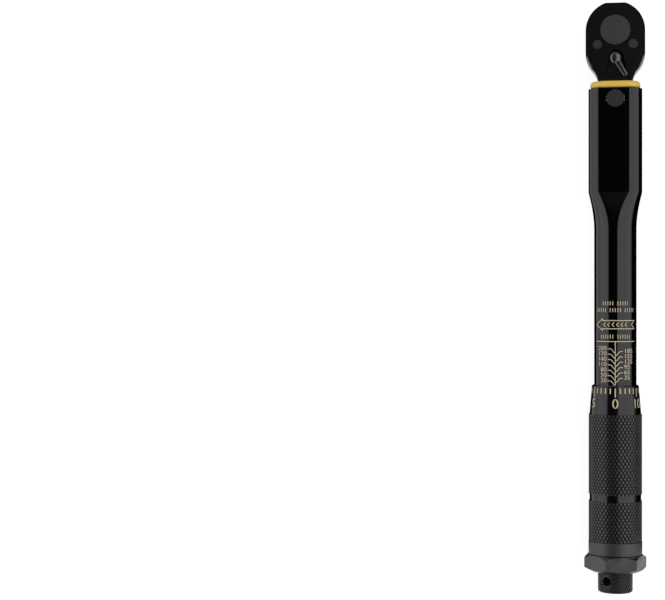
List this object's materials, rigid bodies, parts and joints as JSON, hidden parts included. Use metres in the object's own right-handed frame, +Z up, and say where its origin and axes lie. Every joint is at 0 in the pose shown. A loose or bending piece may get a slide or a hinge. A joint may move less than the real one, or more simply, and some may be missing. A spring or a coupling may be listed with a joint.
{
  "type": "torque wrench",
  "caption": "Click-type micrometer torque wrench with a square-drive reversible ratchet head, a flattened tube, a turning grip that sets the torque, and a lock knob.",
  "frame": {"origin": "centre of the square drive's end face, level with the surface that the wrench lies on", "axes": "+Y along the wrench towards the head, +Z up through the face with the reverse lever, square drive pointing along -Z"},
  "size_m": [0.0294, 0.2817, 0.0286],
  "materials": {
    "black_enamel": "gloss",
    "yellow_plastic": "satin",
    "dark_steel": "satin",
    "grey_steel": "satin",
    "satin_steel": "satin",
    "bright_steel": "ground",
    "spring_steel": "drawn",
    "black_grip": "knurled"
  },
  "bodies": {
    "tube": {"tube": "black_enamel", "mouth_collar": "yellow_plastic", "pivot_pin": "dark_steel", "adjuster_nut": "grey_steel", "nut_pin": "bright_steel"},
    "head": {"ratchet_head": "black_enamel", "cover_plate": "black_enamel", "cover_rivet_left": "dark_steel", "cover_rivet_right": "dark_steel"},
    "drive": {"drive_gear": "dark_steel", "detent_spring": "spring_steel"},
    "detent": {"detent_ball": "bright_steel"},
    "lever": {"reverse_lever": "grey_steel", "lever_spring": "spring_steel", "lever_clip": "spring_steel"},
    "lever_plunger": {"lever_plunger": "bright_steel"},
    "pawl": {"ratchet_pawl": "dark_steel"},
    "click_block": {"click_block": "bright_steel"},
    "plunger": {"thrust_plunger": "grey_steel", "main_spring": "spring_steel"},
    "spring_seat": {"spring_seat": "grey_steel", "thrust_washer": "bright_steel"},
    "grip": {"grip_sleeve": "black_grip", "adjusting_screw": "grey_steel", "end_nut": "satin_steel"},
    "lock_wedge": {"lock_wedge": "bright_steel"},
    "lock_knob": {"lock_knob": "black_grip", "lock_rod": "grey_steel", "knob_set_screw": "dark_steel"}
  },
  "joints": [
    {"name": "head_click", "type": "hinge", "parent": "tube", "child": "head", "pos_m": [0, -0.03257, 0.0143], "axis": [0, 0, 1], "range_deg": [-2, 2], "stiffness_Nm_per_rad": 20},
    {"name": "drive_spin", "type": "hinge", "parent": "head", "child": "drive", "pos_m": [0, 0, 0], "axis": [0, 0, 1], "continuous": true},
    {"name": "detent_press", "type": "slide", "parent": "drive", "child": "detent", "axis": [0, 1, 0], "range_m": [-0.0005, 0], "stiffness_N_per_m": 400, "springref_m": 0.001, "deforming": ["detent_spring"]},
    {"name": "lever_turn", "type": "hinge", "parent": "head", "child": "lever", "pos_m": [0, -0.0132, 0.0189], "axis": [0, 0, 1], "range_deg": [-60, 0]},
    {"name": "lever_plunger_press", "type": "slide", "parent": "lever", "child": "lever_plunger", "axis": [-0.5, 0.866, 0], "range_m": [-0.0004, 0], "stiffness_N_per_m": 300, "springref_m": 0.0008, "deforming": ["lever_spring"]},
    {"name": "pawl_rock", "type": "hinge", "parent": "head", "child": "pawl", "pos_m": [0, -0.0132, 0.0111], "axis": [0, 0, 1], "range_deg": [0, 8.5]},
    {"name": "block_tilt", "type": "hinge", "parent": "head", "child": "click_block", "pos_m": [0, -0.10057, 0.0143], "axis": [0, 0, 1], "range_deg": [-30.5, 30.5]},
    {"name": "thrust_travel", "type": "slide", "parent": "tube", "child": "plunger", "axis": [0, 1, 0], "range_m": [-0.0018, 0], "stiffness_N_per_m": 3000, "springref_m": 0.003, "deforming": ["main_spring"]},
    {"name": "setting_travel", "type": "slide", "parent": "tube", "child": "spring_seat", "axis": [0, 1, 0], "range_m": [0, 0.01524]},
    {"name": "grip_turn", "type": "hinge", "parent": "spring_seat", "child": "grip", "pos_m": [0, -0.16937, 0.0143], "axis": [0, 1, 0], "range_deg": [0, 2160]},
    {"name": "lock_travel", "type": "slide", "parent": "grip", "child": "lock_wedge", "axis": [0, 1, 0], "range_m": [-0.00125, 0]},
    {"name": "lock_turn", "type": "hinge", "parent": "lock_wedge", "child": "lock_knob", "pos_m": [0, -0.25877, 0.0143], "axis": [0, 1, 0], "range_deg": [-360, 0]}
  ],
  "couplings": [
    {"joint": "pawl_rock", "follows": "lever_turn", "ratio": -0.14},
    {"joint": "block_tilt", "follows": "head_click", "ratio": -15},
    {"joint": "grip_turn", "follows": "setting_travel", "rad_per_m": 2473.7},
    {"joint": "lock_turn", "follows": "lock_travel", "rad_per_m": 5026.5}
  ]
}
